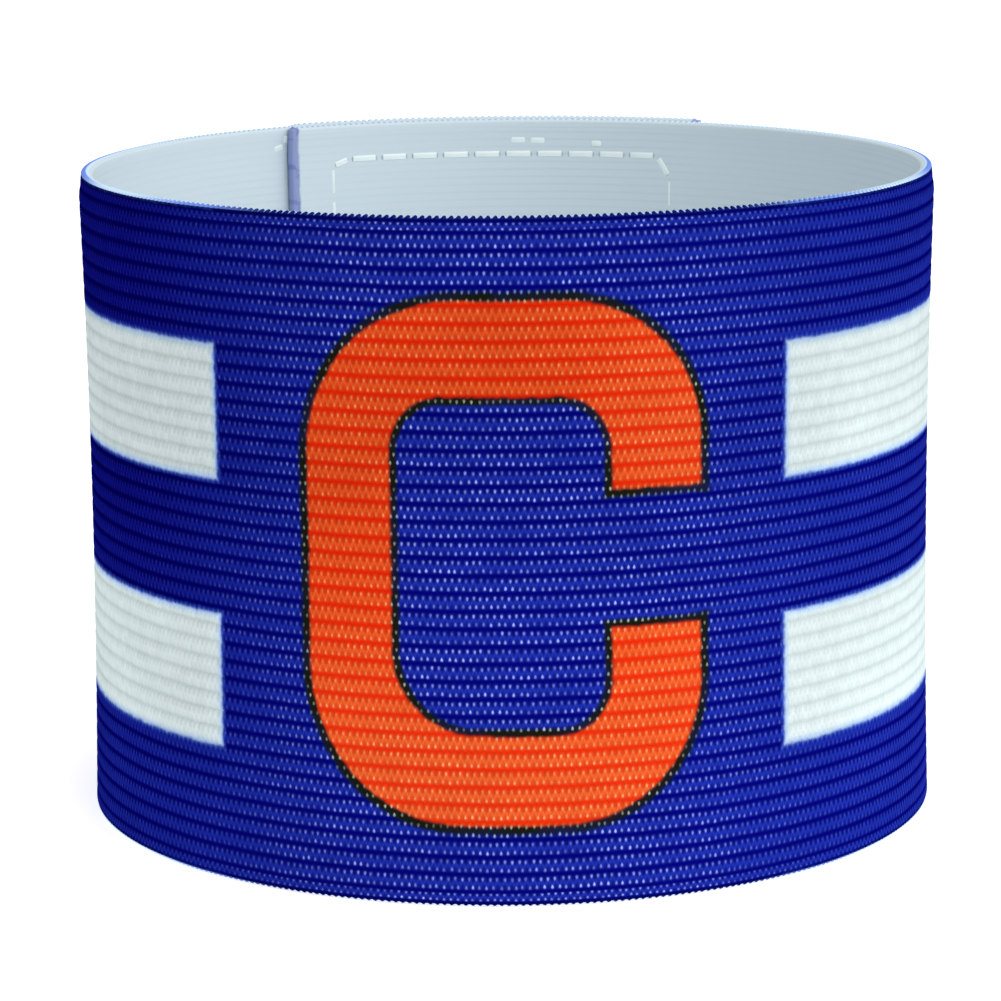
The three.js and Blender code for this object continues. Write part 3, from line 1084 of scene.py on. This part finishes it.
LAST_STRAY_STITCH = (
    {"along": 37.6 * MM, "up": 67.1 * MM},
    {"along": 39.4 * MM, "up": 67.1 * MM, "stitches": 1},
)
TACK = (
    {"along": RING_LENGTH - 2.1 * MM, "up": 67.3 * MM},
    {"along": RING_LENGTH - 0.4 * MM, "up": 67.8 * MM, "stitches": 1},
    {"along": RING_LENGTH - 0.1 * MM, "up": 69.2 * MM, "stitches": 1},
)
inner_seams = [INNER_SEAM, STRAY_STITCHES, LAST_STRAY_STITCH, TACK]
inner_stitches = sew("inner_stitches", inner_seams, -BAND_WALL, -1)
outer_stitches = sew("outer_stitches", [OUTER_SEAM], 0.0, 1)

# %% [markdown]
# The hook and loop tapes lie between the plies. Little of them shows, just their edges from above and
# from the open end. Each starts as a plane whose corners are bevelled round, is inset for its woven
# border, cut into strips so that it can bend, and given its thickness.

# %% The hook and loop tapes
PATCH_END_MARGIN = 2.5 * MM
PATCH_EDGE_MARGIN = 4.0 * MM
PATCH_CORNER = 2.0 * MM
PATCH_BORDER = 1.6 * MM
PATCH_STRIP = 1.5 * MM
PATCH_PILE = 0.08 * MM
PATCH_PLAY = 0.1 * MM
PILE_BUMP = 0.25 * MM
LOOP_WHITE = display_colour(232, 238, 240)
LOOP_SHADE = display_colour(196, 206, 212)
HOOK_WHITE = display_colour(224, 230, 234)
HOOK_SHADE = display_colour(170, 180, 190)


def nylon_material(name, colour, dark, grain):
    """Nylon tape with a fine pile."""
    material, tree, shader = new_material(name)
    place = tree.nodes.new("ShaderNodeTexCoord").outputs["Object"]
    pile = noise(tree, place, grain, 4.0)
    tufts = soft_step(tree, pile, 0.35, 0.6)
    feed(tree, shader.inputs["Base Color"], mix_colour(tree, tufts, dark, colour))
    feed(tree, shader.inputs["Normal"], bumped(tree, pile, PILE_BUMP))
    shader.inputs["Roughness"].default_value = 0.75
    return material


def make_patch(name, stand_off, material):
    """One nylon tape on the inner ply's outer face."""
    length = OVERLAP_LENGTH - 2 * PATCH_END_MARGIN
    height = BAND_HEIGHT - 2 * PATCH_EDGE_MARGIN
    bm = bmesh.new()
    verts = bmesh.ops.create_grid(bm, x_segments=1, y_segments=1, size=0.5)["verts"]
    bmesh.ops.scale(bm, vec=(length, height, 1), verts=verts)
    bmesh.ops.bevel(
        bm, geom=verts, offset=PATCH_CORNER, offset_type="OFFSET", segments=5,
        profile=0.5, affect="VERTICES", material=-1,
    )
    bmesh.ops.inset_region(bm, faces=bm.faces, thickness=PATCH_BORDER, depth=PATCH_PILE)
    cuts = int(length / PATCH_STRIP)
    for i in range(1, cuts):
        place = Vector((length * (i / cuts - 0.5), 0, 0))
        everything = bm.verts[:] + bm.edges[:] + bm.faces[:]
        bmesh.ops.bisect_plane(bm, geom=everything, plane_co=place, plane_no=(1, 0, 0))
    bmesh.ops.solidify(bm, geom=bm.faces[:], thickness=PATCH_THICKNESS - PATCH_PLAY)
    turn = Matrix.Rotation(math.radians(90), 4, "X")
    middle = Vector((OVERLAP_LENGTH / 2, stand_off + PATCH_THICKNESS / 2, BAND_HEIGHT / 2))
    bmesh.ops.transform(bm, matrix=Matrix.Translation(middle) @ turn, verts=bm.verts)
    bmesh.ops.recalc_face_normals(bm, faces=bm.faces)
    roll_onto_ring(bm)
    return piece_from(bm, name, material)


LOOP_NYLON = nylon_material("loop_nylon", LOOP_WHITE, LOOP_SHADE, 2600)
HOOK_NYLON = nylon_material("hook_nylon", HOOK_WHITE, HOOK_SHADE, 1400)
loop_tape = make_patch("loop_tape", LAYER_GAP, LOOP_NYLON)
hook_tape = make_patch("hook_tape", 2 * LAYER_GAP + PATCH_THICKNESS, HOOK_NYLON)
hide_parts("loop_patch")
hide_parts("hook_patch")

# %% [markdown]
# The band is a strip of cloth, and the size that it was cut to is printed.

print(f"cloth cut {BAND_HEIGHT:.3f} x {TAPE_LENGTH:.3f} m")

# %% [markdown]
# A plain pale floor and soft studio light. The sky lights everything evenly, and one very soft lamp
# from the right models the ring: it falls on the outside of its right half and on the inside of its
# left half. The floor is a light table: it glows a little, so that it looks as white as a paper
# backdrop and throws light up under the ribs.

# %% Floor and light
FLOOR_SIDE = 12.0
FLOOR_GLOW = 0.5
SKY_STRENGTH = 0.76
KEY_DIRECTION = (0.68, -0.60, 0.62)
KEY_STRENGTH = 1.45
KEY_SOFTNESS = math.radians(70)


def make_floor():
    """A wide pale floor under the ring."""
    bm = bmesh.new()
    bmesh.ops.create_grid(bm, x_segments=1, y_segments=1, size=FLOOR_SIDE / 2)
    mesh = bpy.data.meshes.new("floor")
    bm.to_mesh(mesh)
    bm.free()
    material, tree, shader = new_material("pale_floor")
    shader.inputs["Base Color"].default_value = (0.9, 0.9, 0.9, 1)
    shader.inputs["Roughness"].default_value = 0.9
    shader.inputs["Emission Color"].default_value = (1, 1, 1, 1)
    shader.inputs["Emission Strength"].default_value = FLOOR_GLOW
    mesh.materials.append(material)
    floor = bpy.data.objects.new("floor", mesh)
    bpy.context.scene.collection.objects.link(floor)
    floor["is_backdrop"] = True
    return floor


def add_key():
    """One very soft lamp, far away on the right."""
    data = bpy.data.lights.new("key", "SUN")
    data.energy = KEY_STRENGTH
    data.angle = KEY_SOFTNESS
    lamp = bpy.data.objects.new("key", data)
    lamp.rotation_euler = Vector(KEY_DIRECTION).to_track_quat("Z", "Y").to_euler()
    bpy.context.scene.collection.objects.link(lamp)
    return lamp


floor = make_floor()
key = add_key()
world = bpy.data.worlds.new("studio")
world.use_nodes = True
sky = world.node_tree.nodes["Background"]
sky.inputs["Color"].default_value = (1, 1, 1, 1)
sky.inputs["Strength"].default_value = SKY_STRENGTH
bpy.context.scene.world = world
bpy.context.scene.view_settings.view_transform = "Standard"
print(f"{floor.name} {FLOOR_SIDE:.0f} m wide, {key.name} lamp from {KEY_DIRECTION}")

# %% [markdown]
# How far the corners of the dressed part's box moved from those of the imported one is printed.

# %% Sizes beside the imported model, and the end
VISUAL_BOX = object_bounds()
for corner, visual, cad in zip(("low", "high"), VISUAL_BOX, CAD_BOX):
    print(corner, "corner moved by (mm):", [round((v - c) / MM, 2) for v, c in zip(visual, cad)])
